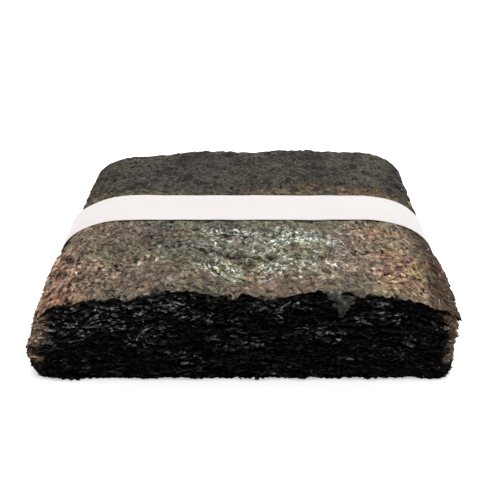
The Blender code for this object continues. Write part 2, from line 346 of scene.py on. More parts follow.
def front_lift(x, y):
    """The front end rises a little, but for its corners, which sag."""
    corner = past(np.abs(x), *FRONT_SAG_X)
    return past(-y, *FRONT_RISE_Y) * (FRONT_RISE - FRONT_CORNER_SAG * corner)


def top_height(x, y):
    sag = past(-x, *SAG_X) * past(y, *SAG_Y)
    plain = STACK_HEIGHT - BAND_DIP * band_hold(y) - shoulder_drop(x, y)
    return plain - REAR_CORNER_SAG * sag + front_lift(x, y)


def end_wave(x, y):
    crest = WAVE_HEIGHT * np.where(y > 0, REAR_WAVE_SHARE, 1.0)
    return crest * (1 - band_hold(y)) * np.cos(2 * math.pi * (x - WAVE_CREST_X) / WAVE_LENGTH)


def rim_waves(x, y):
    shapes = [rise * MM * np.exp(-(((x / MM - at) / reach) ** 2)) for at, reach, rise in RIM_WAVES]
    return past(-y, *RIM_WAVES_Y) * sum(shapes)


def pile_height(x, y, level):
    """The height of a sheet, of which the level runs from 0, the lowest, to 1, the top one."""
    low = BAND_ROOM * smooth(1.6 * band_hold(y) - 0.6)
    waves = end_wave(x, y) + rim_waves(x, y)
    return low + (top_height(x, y) - low) * level + waves * level**3


def sway(level):
    if level < MIDDLE_LEVEL:
        return FOOT_SWAY + (MIDDLE_SWAY - FOOT_SWAY) * smooth(level / MIDDLE_LEVEL)
    return MIDDLE_SWAY + (TOP_SWAY - MIDDLE_SWAY) * past(level, MIDDLE_LEVEL, TOP_LEVEL - MIDDLE_LEVEL)


def shifted(level, hold):
    """How far to the right a sheet lies, which is less where the band holds it."""
    return sway(level) * (1 - (1 - HELD_SWAY_SHARE) * hold) + BAND_CENTRE_X * hold


def span_share(level):
    above = max(0.0, level - MIDDLE_LEVEL) / (1 - MIDDLE_LEVEL)
    below = max(0.0, MIDDLE_LEVEL - level) / MIDDLE_LEVEL
    return 1 - TOP_SHRINK * above**2 - FOOT_SHRINK * below**2


def flare(y, level):
    """How much wider the upper sheets are near the front, where the band doesn't hold them."""
    return 1 + FRONT_FLARE * past(level, *FLARE_LEVEL) * past(-y, *FLARE_Y)


def corner_bulge(x, y, level):
    out = CORNER_OUT * past(level, *CORNER_OUT_LEVEL) - CORNER_IN * past(level, *CORNER_IN_LEVEL)
    return out * past(-y, *CORNER_Y) * past(x, *CORNER_X)


def band_half_line(steps):
    """(x, z) of the band's inner face on its +X side, from the foot up to the flat top."""
    crown = STACK_HEIGHT - BAND_DIP + BAND_CLEARANCE
    line = [
        (BAND_HALF_FOOT - BAND_FOOT_BEVEL, BAND_THICKNESS),
        (BAND_HALF_FOOT, BAND_THICKNESS + BAND_FOOT_BEVEL),
    ]
    for turn in np.radians(np.linspace(0, 90, steps + 1)):
        x = SHOULDER_START + SHOULDER_RUN * math.cos(turn)
        line.append((x, crown - SHOULDER_FALL * (1 - math.sin(turn))))
    return np.array(line)


BAND_LINE = band_half_line(24)


def ripple(number, lengths, count, x, y, z=0.0, z_length=None):
    """Smooth unevenness of about unit size, made of crossing waves of mixed lengths, in mm."""
    rng = np.random.default_rng(SEED + number)
    total = 0.0
    for _ in range(count):
        turn, phase = rng.uniform(0, 2 * math.pi, 2)
        wave = 2 * math.pi / (rng.uniform(*lengths) * MM)
        along = wave * (x * math.cos(turn) + y * math.sin(turn)) + phase
        if z_length:
            rise = z_length * MM * rng.choice([-1, 1]) * rng.uniform(0.7, 1.5)
            along = along + 2 * math.pi * z / rise
        total = total + np.sin(along)
    return total / math.sqrt(count / 2)


def rim_noise(rng, share, cycles, count):
    """Smooth unevenness of about unit size along a closed rim, share running 0 to 1."""
    total = 0.0
    for _ in range(count):
        turns = int(rng.integers(*cycles))
        total = total + np.sin(2 * math.pi * turns * share + rng.uniform(0, 2 * math.pi))
    return total / math.sqrt(count / 2)


# Meshes


def mesh_piece(name, points, faces, materials, material_index=None, replaces=()):
    """A mesh object of triangles that rides on the bundle."""
    mesh = bpy.data.meshes.new(name)
    mesh.vertices.add(len(points))
    mesh.vertices.foreach_set("co", np.asarray(points, np.float32).ravel())
    mesh.loops.add(3 * len(faces))
    mesh.loops.foreach_set("vertex_index", np.asarray(faces, np.int32).ravel())
    mesh.polygons.add(len(faces))
    mesh.polygons.foreach_set("loop_start", np.arange(0, 3 * len(faces), 3, dtype=np.int32))
    for finish in materials:
        mesh.materials.append(finish)
    if material_index is not None:
        mesh.polygons.foreach_set("material_index", np.asarray(material_index, np.int32))
    mesh.update(calc_edges=True)
    mesh.shade_smooth()
    piece = bpy.data.objects.new(name, mesh)
    bpy.context.scene.collection.objects.link(piece)
    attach(piece, "root")
    if replaces:
        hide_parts(*replaces)
    return piece


def point_values(piece, copies=1, **values):
    """Gives the points a value under each name, the same one to so many points in a row."""
    for name, value in values.items():
        made = piece.data.attributes.new(name, "FLOAT", "POINT")
        made.data.foreach_set("value", np.repeat(value, copies).astype(np.float32))


def between_rings(outer, inner):
    """Triangles that join a ring of points to a ring inside it that has fewer."""
    ratio = len(outer) // len(inner)
    i = np.arange(len(outer))
    j = ((i + ratio // 2) // ratio) % len(inner)
    one = np.stack([outer, np.roll(outer, -1), inner[j]], 1)
    turned = i[(i + ratio // 2) % ratio == 0]
    two = np.stack([outer[turned], inner[j[turned]], inner[j[turned] - 1]], 1)
    return np.concatenate([one, two])


def point_grid(rows, columns):
    return np.arange(rows * columns).reshape(rows, columns)


def grid_faces(grid):
    a, b, c, d = grid[:-1, :-1], grid[:-1, 1:], grid[1:, 1:], grid[1:, :-1]
    return np.stack([a, b, c, a, c, d], -1).reshape(-1, 3)


def grid_rim(grid):
    """A grid's outer points, counter-clockwise from the front left."""
    return np.concatenate([grid[0, :-1], grid[:-1, -1], grid[-1, :0:-1], grid[:0:-1, 0]])


def ring_faces(counts):
    """Triangles, seen counter-clockwise, that fill nested rings and the point inside them."""
    starts = np.concatenate([[0], np.cumsum(counts)])
    rings = [np.arange(count) + start for count, start in zip(counts, starts)]
    faces = [between_rings(outer, inner) for outer, inner in zip(rings, rings[1:])]
    last = rings[-1]
    faces.append(np.stack([last, np.roll(last, -1), np.full_like(last, starts[-1])], 1))
    return np.concatenate(faces)


def wall_faces(upper, lower):
    """Triangles between two equal rings, facing out."""
    upper_ahead, lower_ahead = np.roll(upper, -1), np.roll(lower, -1)
    one = np.stack([upper, lower, lower_ahead], 1)
    two = np.stack([upper, lower_ahead, upper_ahead], 1)
    return np.concatenate([one, two])


# The pile's sheets


def plain_rim():
    """The rim of a plain sheet, counter-clockwise from the front left, its outward
    directions, and its share of the way round. It is finest along the front."""
    radius = CORNER_RADIUS
    half_x, half_y = SHEET_WIDTH / 2 - radius, SHEET_LENGTH / 2 - radius
    corners = np.array([(-half_x, -half_y), (half_x, -half_y), (half_x, half_y), (-half_x, half_y)])
    places, turns = [], []
    for side, step in enumerate(RIM_STEPS):
        start, end, facing = corners[side], corners[(side + 1) % 4], 90 * side - 90
        t = np.linspace(0, 1, int(math.dist(start, end) / step), endpoint=False)[:, None]
        places += [start * (1 - t) + end * t, np.tile(end, (CORNER_POINTS, 1))]
        turns += [facing + 0 * t[:, 0], facing + np.linspace(0, 90, CORNER_POINTS, endpoint=False)]
    turns = np.radians(np.concatenate(turns))
    outward = np.stack([np.cos(turns), np.sin(turns)], 1)
    places = np.concatenate(places) + radius * outward
    spare = len(places) % 8  # the coarsest ring has one point for every eight of the rim
    keep = np.setdiff1d(np.arange(len(places)), len(places) - 1 - 3 * np.arange(spare))
    places, outward = places[keep], outward[keep]
    lengths = np.linalg.norm(np.roll(places, -1, 0) - places, axis=1)
    share = np.concatenate([[0], np.cumsum(lengths)[:-1]]) / lengths.sum()
    return places, outward, share


def within_band(x, y, level, room):
    """Places near the band, moved in so that they are clear of it."""
    near = 1 - past(band_gap(y), *RIM_HELD)
    inside = np.interp(pile_height(x, y, level), BAND_LINE[:, 1], BAND_LINE[:, 0])
    reach = inside - RIM_ROOM - room
    held = np.clip(x, BAND_CENTRE_X - reach, BAND_CENTRE_X + reach)
    return x + (held - x) * near


def raggedness(x, y, level, share, rng):
    """How far out of line a sheet's rim is: in waves that its neighbours share, and in its own."""
    height = level * STACK_HEIGHT
    ragged = 0.5 * MM * ripple(0, (14, 45), 14, x, y, height, 3.2)
    ragged += 0.3 * MM * rim_noise(rng, share, (6, 30), 6)
    ragged += 0.3 * MM * rim_noise(rng, share, (90, 320), 14)
    torn = rng.normal(0, 1, len(x))
    ragged += 0.3 * MM * (0.6 * torn + 0.2 * (np.roll(torn, 1) + np.roll(torn, -1)))
    return ragged * (1 - 0.6 * (band_hold(y) > 0.98))


def sheet_rim(level, rng, rim):
    """Where the ragged rim of the sheet at a level lies."""
    places, outward, share = rim
    x, y = places.T
    hold = band_hold(y)
    slip_x, slip_y = rng.uniform(-SLIP, SLIP, 2)
    twist = rng.uniform(-TWIST, TWIST)
    shift = shifted(level, hold) + (slip_x - twist * y) * (1 - 0.6 * hold) + corner_bulge(x, y, level)
    spread = HELD_SPREAD * (1 - level * level) * hold * np.sign(x) * (np.abs(outward[:, 0]) > 0.5)
    ragged = raggedness(x, y, level, share, rng)
    fine_x = x * span_share(level) * flare(y, level) + shift + spread + outward[:, 0] * ragged
    fine_y = y + slip_y + twist * x + outward[:, 1] * ragged
    return within_band(fine_x, fine_y, level, np.abs(ragged)), fine_y


def sheet_rings(level, rng, rim):
    """The rings of points, from the rim inwards, that a sheet is made of."""
    plain_x, plain_y = rim[0].T
    plain_x = plain_x * span_share(level)
    x, y = sheet_rim(level, rng, rim)
    rings = []
    for inset, every in RING_INSETS:
        fade = math.exp(-inset / RIM_FADE)
        ring_x = plain_x * (1 - 2 * inset / SHEET_WIDTH) + (x - plain_x) * fade
        ring_y = plain_y * (1 - 2 * inset / SHEET_LENGTH) + (y - plain_y) * fade
        rings.append(np.array([ring_x, ring_y, np.full(len(x), fade)])[:, ::every])
    rings.append(np.zeros((3, 1)))
    return np.concatenate(rings, 1)


def sheet_levels():
    """The level of each real sheet, at uneven steps from 0 to 1, and its share."""
    rng = np.random.default_rng(SEED)
    steps = 1 + rng.uniform(-LEVEL_SPREAD, LEVEL_SPREAD, REAL_SHEETS)
    edges = np.concatenate([[0], np.cumsum(steps)]) / steps.sum()
    return (edges[:-1] + edges[1:]) / 2, np.diff(edges)


def sheet_points(number, level, share, rim):
    """The points of a real sheet's upper and lower face. The sheets lie in loose uneven
    bunches, and each has a curling rim."""
    rng = np.random.default_rng(SEED + 10 + number)
    x, y, fade = sheet_rings(level, rng, rim)
    around = len(rim[0])
    height = level * STACK_HEIGHT
    curl = np.zeros(len(x))
    curl[:around] = 0.3 * MM * rim_noise(rng, rim[2], (60, 300), 14)
    curl[:around] += 0.08 * MM * rng.normal(0, 1, around)
    bunched = 0.42 * MM * ripple(1, (9, 34), 16, x, y, height, 7.5)
    push = (bunched * fade + curl) * (1 - 0.8 * band_hold(y)) * smooth(height / (1.5 * MM))
    push -= HIDDEN_DROP * (1 - fade)
    faces = []
    for side in (1, -1):
        z = pile_height(x, y, level + side * share * SHEET_SHARE / 2) + push
        faces.append(np.stack([x, y, np.maximum(z, 0.0)], 1))
    return faces


def sheet_faces(counts):
    """The faces of a sheet, and the number of each one's finish: of its upper face, and of its
    lower face and its cut edge."""
    top = ring_faces(counts)
    total = sum(counts) + 1
    ring = np.arange(counts[0])
    wall = wall_faces(ring, ring + total)
    faces = np.concatenate([top, top[:, ::-1] + total, wall])
    return faces, np.repeat([0, 1], [len(top), len(top) + len(wall)])


def lit_brownness(facing, x, y, z):
    """How much of the painted light, a brown, a place on a rim takes: the long sides take it, down to their
    foot, which is left in painted shade; the front stays dark.
    """
    left = x < 0
    start = np.where(left, 0.12, 0.42 - 0.36 * past(z, 25 * MM, 7 * MM))
    uneven = 4 * MM * ripple(12, (7, 24), 10, y, 0 * y, z, 9)
    lit = past(z + uneven, np.where(left, 9 * MM, 3 * MM), 8 * MM)
    patchy = smooth(0.6 + 0.55 * ripple(13, (7, 30), 16, y, 0.3 * x, z, 2.6))
    least = np.where(left, 0.3, 0.2)
    return past(np.abs(facing), start, 0.16) * (least + (1 - least) * patchy) * lit


def make_pile(finishes):
    """Makes the sheets under the top one. Returns the points of all their rims."""
    rim = plain_rim()
    levels, shares = sheet_levels()
    counts = [len(rim[0][::every]) for _, every in RING_INSETS]
    one_sheet, one_index = sheet_faces(counts)
    facing = np.concatenate([rim[1][::every, 0] for _, every in RING_INSETS] + [[0]])
    rims = []
    for first, last in PILE_GROUPS:
        sheets = [sheet_points(n, levels[n], shares[n], rim) for n in range(2 * first - 2, 2 * last)]
        rims += [upper[: counts[0]] for upper, _ in sheets]
        points = np.concatenate([face for sheet in sheets for face in sheet])
        faces = np.concatenate([one_sheet + 2 * len(facing) * k for k in range(len(sheets))])
        index = np.tile(one_index, len(sheets))
        nodes = [f"sheet_{n:02d}" for n in range(first, last + 1)]
        name = f"sheets_{first:02d}_{last:02d}"
        piece = mesh_piece(name, points, faces, finishes, index, nodes)
        point_values(piece, side=lit_brownness(np.tile(facing, 2 * len(sheets)), *points.T))
    return np.array(rims), rim[1]


# Small plates


def squared(along, normal):
    """Two unit directions at right angles in the plane of a plate, the first close to along."""
    across = unit(np.cross(normal, along))
    return np.cross(across, normal), across


def make_plates(name, finish, where, directions, half_sizes, curl, rng):
    """Many thin plates with six uneven corners, bent along their length."""
    count = len(where)
    angles = np.radians(np.arange(6) * 60.0) + rng.uniform(-0.35, 0.35, (count, 6))
    reach = rng.uniform(0.7, 1.15, (count, 6))
    u, v = np.cos(angles) * reach, np.sin(angles) * reach
    normal = np.cross(*directions)[:, None]
    along, across = (way * half[:, None] for way, half in zip(directions, half_sizes))
    flat = u[..., None] * along[:, None] + v[..., None] * across[:, None]
    upper = where[:, None] + flat + (curl[:, None] * (u * u - 0.35))[..., None] * normal
    points = np.concatenate([upper, upper - PLATE_THICKNESS * normal], 1).reshape(-1, 3)
    points[:, 2] = np.maximum(points[:, 2], 0.0)
    fan = np.array([(0, 1, 5), (1, 2, 5), (2, 4, 5), (2, 3, 4)])
    ring = np.arange(6)
    one = np.concatenate([fan, fan[:, ::-1] + 6, wall_faces(ring, ring + 6)])
    faces = (one[None] + 12 * np.arange(count)[:, None, None]).reshape(-1, 3)
    return mesh_piece(name, points, faces, [finish])


def chip_places(rims, outward, rng):
    """The sheet of each chip, and its place on that sheet's rim."""
    free = band_gap(rims[..., 1]) > CHIP_ROOM
    front, rear = outward[:, 1] < -0.6, outward[:, 1] > 0.6
    picks = []
    for wanted, number in ((front, FRONT_CHIPS), (rear, REAR_CHIPS), (~front & ~rear, SIDE_CHIPS)):
        sheet = rng.integers(2, len(rims), 3 * number)
        place = rng.choice(np.flatnonzero(wanted), 3 * number)
        good = np.flatnonzero(free[sheet, place])[:number]
        picks.append(np.stack([sheet[good], place[good]], 1))
    return np.concatenate(picks).T


def chip_cluster(x, z):
    """How thickly pale chips lie, 0 to 1, their paleness partly painted highlight: in patches, and over a
    slanting line at the left.
    """
    cluster = 0.31 + 0.5 * ripple(9, (14, 45), 8, x, 2.5 * z)
    line = 22 * MM + 0.3 * (x + 55 * MM)
    cluster += 1.3 * past(z, line, 8 * MM) * past(-x, 5 * MM, 30 * MM)
    return np.clip(cluster, 0, 1) * (0.35 + 0.65 * smooth(z / (30 * MM)))


def chip_light(x, y, z):
    """The share of the light that a chip gets: none under the top rim, and less to the right."""
    under_rim = past(pile_height(x, y, TOP_LEVEL) - z, 0.8 * MM, 2.5 * MM)
    return under_rim * (1 - 0.12 * past(x, -40 * MM, 40 * MM) - 0.18 * past(x, 0, 60 * MM))


def make_chips(rims, outward, finish):
    """Torn bits that stick out of the pile's walls, mostly at the front."""
    rng = np.random.default_rng(SEED + 700)
    sheet, place = chip_places(rims, outward, rng)
    where = rims[sheet, place]
    count, around = len(place), rims.shape[1]
    tangent = unit(rims[sheet, (place + 3) % around] - rims[sheet, (place - 3) % around])
    out = np.concatenate([outward[place], np.zeros((count, 1))], 1)
    rise = np.radians(rng.uniform(-15, 75, count))[:, None]
    normal = unit(out * np.cos(rise) + (0, 0, 1) * np.sin(rise) + rng.normal(0, 0.22, out.shape))
    directions = squared(unit(tangent + rng.normal(0, 0.28, out.shape)), normal)
    cluster = chip_cluster(where[:, 0], where[:, 2])
    # painted shade: chip_light cuts a chip's paleness under the top rim and to the right
    tone = (rng.uniform(0, 1, count) < 0.07 + 0.5 * cluster) * chip_light(*where.T)
    size = (1 + 0.42 * cluster) * MM
    half_long = rng.lognormal(math.log(0.85), 0.5, count) * size
    half_wide = rng.lognormal(math.log(0.38), 0.4, count) * size
    curl = rng.normal(0, 0.16, count) * MM
    where = where + out * rng.uniform(-0.1, 0.35, (count, 1)) * MM
    piece = make_plates("edge_chips", finish, where, directions, (half_long, half_wide), curl, rng)
    tone = tone * rng.beta(1.6, 1.8, count) * (0.16 + 1.3 * cluster)
    side, hue = lit_brownness(outward[place, 0], *where.T), rng.uniform(0, 1, count)
    point_values(piece, 12, tone=tone, side=side, hue=hue)


def make_loose_blades(surface, finish):
    """Blades of laver that stand a little proud of the top sheet."""
    rng = np.random.default_rng(SEED + 800)
    rows, columns = surface.shape[:2]
    middle_y = surface[:, columns // 2, 1]
    weight = np.gradient(middle_y) * (band_gap(middle_y) > BLADE_ROOM)
    weight *= np.where(middle_y > 0, 0.15, 1.0)
    weight[:3] = weight[-3:] = 0
    row = rng.choice(rows, LOOSE_BLADES, p=weight / weight.sum())
    column = rng.integers(3, columns - 3, LOOSE_BLADES)
    slope_x = unit(surface[row, column + 3] - surface[row, column - 3])
    slope_y = unit(surface[row + 3, column] - surface[row - 3, column])
    up = unit(np.cross(slope_x, slope_y))
    turn = rng.uniform(0, math.pi, LOOSE_BLADES)
    heading = slope_x * np.cos(turn)[:, None] + slope_y * (DEPTH_BIAS * np.sin(turn))[:, None]
    directions = squared(heading, unit(up + rng.normal(0, 0.17, up.shape)))
    half_long = rng.lognormal(math.log(1.5), 0.4, LOOSE_BLADES) * MM
    half_wide = rng.lognormal(math.log(0.42), 0.3, LOOSE_BLADES) * MM
    curl = rng.normal(0.02, 0.14, LOOSE_BLADES) * MM
    where = surface[row, column] + up * rng.uniform(0.02, 0.16, (LOOSE_BLADES, 1)) * MM
    piece = make_plates("top_blades", finish, where, directions, (half_long, half_wide), curl, rng)
    tone, warmth, gloss = rng.uniform(0, 1, (3, LOOSE_BLADES))
    point_values(piece, 12, tone=tone, warmth=warmth, gloss=gloss)


# The top sheet


def top_grid():
    """The plain grid of the top sheet, in shares of its half width and half length."""
    u = np.linspace(-1, 1, TOP_COLUMNS + 1)
    v = [np.linspace(low, high, steps, endpoint=False) for low, high, steps in TOP_ROW_STEPS]
    return np.meshgrid(u, np.concatenate([*v, [1.0]]))


def round_corners(x, y):
    """Moves the points near each corner of a rectangle in, so that the corner is round."""
    straight_x, straight_y = SHEET_WIDTH / 2 - CORNER_RADIUS, SHEET_LENGTH / 2 - CORNER_RADIUS
    a = (np.abs(x) - straight_x) / CORNER_RADIUS
    b = (np.abs(y) - straight_y) / CORNER_RADIUS
    inside = (a > 0) & (b > 0)
    scale = np.where(inside, np.maximum(a, b) / np.maximum(np.hypot(a, b), 1e-9), 1.0)
    new_x = np.sign(x) * (straight_x + a * scale * CORNER_RADIUS)
    new_y = np.sign(y) * (straight_y + b * scale * CORNER_RADIUS)
    return np.where(a > 0, new_x, x), np.where(b > 0, new_y, y)


def draw_blade(rng):
    """A blade's centre, half length, half width, the lift of its front edge, its heading and
    how much it bends sideways."""
    centre = rng.uniform(-0.5, 0.5) * SHEET_WIDTH, rng.uniform(-0.5, 0.5) * SHEET_LENGTH
    half_long = rng.lognormal(math.log(2.7), 0.4) * MM
    half_wide = min(half_long * 0.7, rng.lognormal(math.log(1.15), 0.42) * MM)
    lift = min(0.6, rng.exponential(0.2)) * MM
    turn, bend = rng.uniform(0, math.pi), rng.uniform(-45, 45)
    return centre, half_long, half_wide, lift, math.atan2(DEPTH_BIAS * math.sin(turn), math.cos(turn)), bend


def blade_side(along, across, half_long, half_wide, number):
    """How far across a blade places are, from -1 to 1, and which of them are on it."""
    taper = np.sqrt(np.clip(1 - (along / half_long) ** 2, 0, 1)) ** 0.7
    wavy = 1 + 0.25 * np.sin(along / (0.9 * MM) + number)
    side = across / (half_wide * taper * wavy + 1e-6)
    return side, (np.abs(side) < 1) & (taper > 0)


def stamp_blades(x, y, rng):
    """Presses thousands of overlapping blades of laver into a sheet.

    Returns each point's height over the pile, and the tone of the blade that lies uppermost
    there. x and y are a grid with even columns and uneven rows."""
    height = np.zeros_like(x)
    tone = np.full_like(x, 0.4)
    for number in range(BLADES):
        (centre_x, centre_y), half_long, half_wide, lift, turn, bend = draw_blade(rng)
        left, right = np.searchsorted(x[0], (centre_x - half_long, centre_x + half_long))
        low, high = np.searchsorted(y[:, 0], (centre_y - half_long, centre_y + half_long))
        window = (slice(low, high), slice(left, right))
        dx, dy = x[window] - centre_x, y[window] - centre_y
        along = dx * math.cos(turn) + dy * math.sin(turn)
        across = dy * math.cos(turn) - dx * math.sin(turn) - bend * along * along
        side, inside = blade_side(along, across, half_long, half_wide, number)
        if not inside.any():
            continue
        side, along, dy = side[inside], along[inside], dy[inside]
        under = height[window][inside]
        lean, pitch = rng.normal(0, 0.13) * MM, rng.normal(0, 0.16) * MM
        plate = 0.7 * under.mean() + 0.3 * under + rng.uniform(0.02, 0.07) * MM + lean * side
        plate += pitch * along / half_long + 0.03 * MM * (1 - side**2)
        reach = half_long * abs(math.sin(turn)) + half_wide * abs(math.cos(turn))
        plate += lift * np.clip(-dy / reach, 0, 1) ** 1.5
        height[window][inside] = plate
        tone[window][inside] = rng.beta(2.2, 2.2)
    return height, tone


def blurred(values, passes):
    for _ in range(passes):
        padded = np.pad(values, 1, mode="edge")
        values = (padded[:-2, 1:-1] + padded[2:, 1:-1] + padded[1:-1, :-2] + padded[1:-1, 2:]) / 4
    return values


def folded(x, y):
    """The relief of the sharp folds: a furrow with a raised lip behind it."""
    relief = 0 * x
    winding = 0.8 * MM * ripple(51, (5, 12), 6, x, y)
    for fold in FOLDS:
        (x0, y0), (x1, y1) = np.array(fold) * MM
        long = math.hypot(x1 - x0, y1 - y0)
        along = ((x - x0) * (x1 - x0) + (y - y0) * (y1 - y0)) / long
        away = ((y - y0) * (x1 - x0) - (x - x0) * (y1 - y0)) / long + winding
        beyond = 0.5 * np.maximum(0, np.abs(along - long / 2) - long / 2)
        relief -= FURROW_DEPTH * np.exp(-((np.hypot(away, beyond) / FURROW_WIDTH) ** 2))
        relief += LIP_HEIGHT * np.exp(-((np.hypot(away - LIP_AWAY, beyond) / LIP_WIDTH) ** 2))
    return relief


def crumpled(x, y):
    """The relief of soft dents, winding folds and fine creases."""
    dents = 0.30 * ripple(2, (9, 26), 22, x, 0.8 * y)
    folds = np.minimum(np.abs(ripple(3, (5, 13), 30, x, 0.8 * y)), 1.4)
    creases = np.minimum(np.abs(ripple(31, (3, 7), 30, x, 0.9 * y)), 1.3)
    return MM * (dents + 0.42 * (folds - 0.7) - 0.22 * (creases - 0.6))


def torn_and_curled(u, v, x, y, rng):
    """How far the rim reaches out, and up, if the rim were at each point."""
    unrest = smooth(0.5 + 0.6 * ripple(41, (18, 50), 8, x, y))
    tear = 0.9 * MM * ripple(4, (9, 40), 12, x, y)
    tear += (0.2 + 0.7 * unrest) * MM * ripple(5, (1.6, 9), 20, x, y)
    tear += 0.35 * MM * rng.normal(0, 1, x.shape)[:, :1] * (np.abs(u) == 1)
    tear += 0.35 * MM * rng.normal(0, 1, x.shape) * (np.abs(v) == 1)
    curl = (0.3 + 0.8 * unrest) * MM * ripple(6, (2.2, 13), 24, x, y)
    tear = np.clip(tear, -TEAR_IN, TEAR_OUT) * np.where(v > REAR_END, 0.4, 1.0)
    return tear, np.clip(curl, -CURL_DOWN, CURL_UP) * np.where(v > REAR_END, 0.3, 1.0)


def rim_nearness(gap):
    return np.exp(-np.maximum(gap, 0) / RIM_CURL_FADE)


def lay_top_sheet(u, v, flat_x, flat_y, relief, rng):
    """Where the points of the top sheet lie on the pile."""
    x, y = round_corners(flat_x, flat_y)
    shift = shifted(TOP_LEVEL, band_hold(y))
    held = 1 - past(band_gap(y), *DENT_EDGE)
    near_side = rim_nearness(SHEET_WIDTH / 2 - np.abs(flat_x))
    near_end = rim_nearness(SHEET_LENGTH / 2 - np.abs(flat_y))
    tear, curl = torn_and_curled(u, v, flat_x, flat_y, rng)
    tear *= 1 - 0.8 * held
    x = x * span_share(TOP_LEVEL) * flare(y, TOP_LEVEL) + shift + np.sign(u) * tear * near_side
    y = y + np.sign(v) * tear * near_end
    calm = (1 - 0.85 * held) * (1 - 0.6 * past(v, REAR_END, 1 - REAR_END))
    z = pile_height(x, y, TOP_LEVEL) + relief * calm - BAND_DENT * held + curl * near_end
    return np.stack([x, y, z], 2)


def thick_sheet(surface):
    """The points and faces of a sheet with a grid of points for its upper face and a coarse
    lower one, and the number of each face's finish."""
    upper = surface.reshape(-1, 3)
    grid = point_grid(*surface.shape[:2])
    rim = grid_rim(grid)
    coarse = grid[::UNDERSIDE_STEP, ::UNDERSIDE_STEP]
    edge = upper[rim] - (0, 0, TOP_THICKNESS)
    under = upper[coarse.ravel()] - (0, 0, 2.5 * TOP_THICKNESS)
    edge_ring = np.arange(len(rim)) + len(upper)
    inner = point_grid(*coarse.shape) + len(upper) + len(rim)
    lower = np.concatenate([between_rings(edge_ring, grid_rim(inner)), grid_faces(inner)])
    top = grid_faces(grid)
    rest = np.concatenate([lower[:, ::-1], wall_faces(rim, edge_ring)])
    index = np.repeat([0, 1], [len(top), len(rest)])
    return np.concatenate([upper, edge, under]), np.concatenate([top, rest]), index


def make_top_sheet(finishes):
    """Makes the top sheet. Returns its upper face as a grid of points."""
    rng = np.random.default_rng(SEED + 500)
    u, v = top_grid()
    flat_x, flat_y = u * SHEET_WIDTH / 2, v * SHEET_LENGTH / 2
    relief, tone = stamp_blades(flat_x, flat_y, rng)
    relief -= blurred(relief, 40)
    relief += folded(flat_x, flat_y)
    hollow = (relief - blurred(relief, 3)) / MM
    surface = lay_top_sheet(u, v, flat_x, flat_y, relief + crumpled(flat_x, flat_y), rng)
    points, faces, index = thick_sheet(surface)
    piece = mesh_piece("top_sheet", points, faces, finishes, index, ["sheet_50"])
    rest = np.zeros(len(points) - tone.size)
    point_values(piece, tone=np.append(tone, rest), hollow=np.append(hollow, rest))
    return surface


def make_flap(finish):
    """A torn tongue of the top sheet that has folded down over the front edge."""
    across, down = np.meshgrid(np.linspace(-1, 1, 17), np.linspace(0, 1, 25))
    ragged = 0.25 * ripple(901, (1.5, 5), 12, across * 4 * MM, down * 16 * MM)
    width = FLAP_HALF_WIDTH * (0.16 + 0.84 * np.cos(down * math.pi / 2) ** 1.3)
    x = FLAP_X + across * width * (1 + ragged) + 0.8 * MM * np.sin(3 * down)
    tucked = 2.5 * MM * np.clip(1 - down / FLAP_LIP, 0, 1)
    fallen = np.clip((down - FLAP_LIP) / (1 - FLAP_LIP), 0, 1)
    y = tucked - SHEET_LENGTH / 2 - 1.3 * MM * np.sin(fallen * 1.6) - 0.4 * MM
    start = pile_height(x, np.maximum(y, -SHEET_LENGTH / 2), TOP_LEVEL) - 0.5 * MM
    z = start + (FLAP_TIP_Z - start) * (0.15 * fallen + 0.85 * fallen**1.4)
    relief = 0.3 * MM * ripple(902, (2, 7), 12, x, z)
    hanging = smooth(fallen * 4)
    y = y - relief * hanging - 0.5 * MM * (1 - across**2) * fallen
    z = z + relief * (1 - hanging)
    front = np.stack([x, y, z], 2).reshape(-1, 3)
    grid = point_grid(*x.shape)
    rim = grid_rim(grid)
    wall = wall_faces(rim, rim + x.size)
    faces = np.concatenate([grid_faces(grid)[:, ::-1], grid_faces(grid) + x.size, wall[:, ::-1]])
    piece = mesh_piece("torn_flap", np.concatenate([front, front + FLAP_BACK]), faces, [finish])
    tone = 0.60 - 0.5 * fallen**1.5 + 0.2 * ripple(903, (1, 4), 12, x, z)
    point_values(piece, tone=np.tile(np.clip(tone, 0, 1).ravel(), 2))


# The band


def band_path():
    """Even steps round the band's inner face, as (x, z), and the directions out of it."""
    line = band_half_line(48)
    right = np.concatenate([[(0.0, line[0, 1])], line, [(0.0, line[-1, 1])]])
    loop = np.concatenate([right, right[-2:0:-1] * (-1, 1), right[:1]])
    at = np.concatenate([[0], np.cumsum(np.linalg.norm(np.diff(loop, axis=0), axis=1))])
    places = np.linspace(0, at[-1], BAND_STEPS, endpoint=False)
    path = np.stack([np.interp(places, at, loop[:, k]) for k in (0, 1)], 1)
    path[:, 0] += BAND_CENTRE_X
    ahead = np.roll(path, -1, 0) - np.roll(path, 1, 0)
    return path, unit(np.stack([ahead[:, 1], -ahead[:, 0]], 1))


def band_face(path, outward, offset):
    """One face of the band as a grid of points, so far out from the path."""
    across = np.linspace(-0.5, 0.5, BAND_COLUMNS)
    x, z = (path[:, k : k + 1] + 0 * across for k in (0, 1))
    y = BAND_CENTRE_Y + across * BAND_WIDTH + 0 * x
    edge = BAND_EDGE_WAVE * ripple(7, (20, 70), 8, x, z)
    y = y + edge * np.sign(across) * (np.abs(across) > 0.45)
    wave = BAND_WAVE * ripple(8, (12, 60), 10, x, y)
    lift = np.where(z < BAND_FLAT_FOOT, 0, wave) + offset
    return np.stack([x + outward[:, :1] * lift, y, np.maximum(z + outward[:, 1:] * lift, 0.0)], 2)


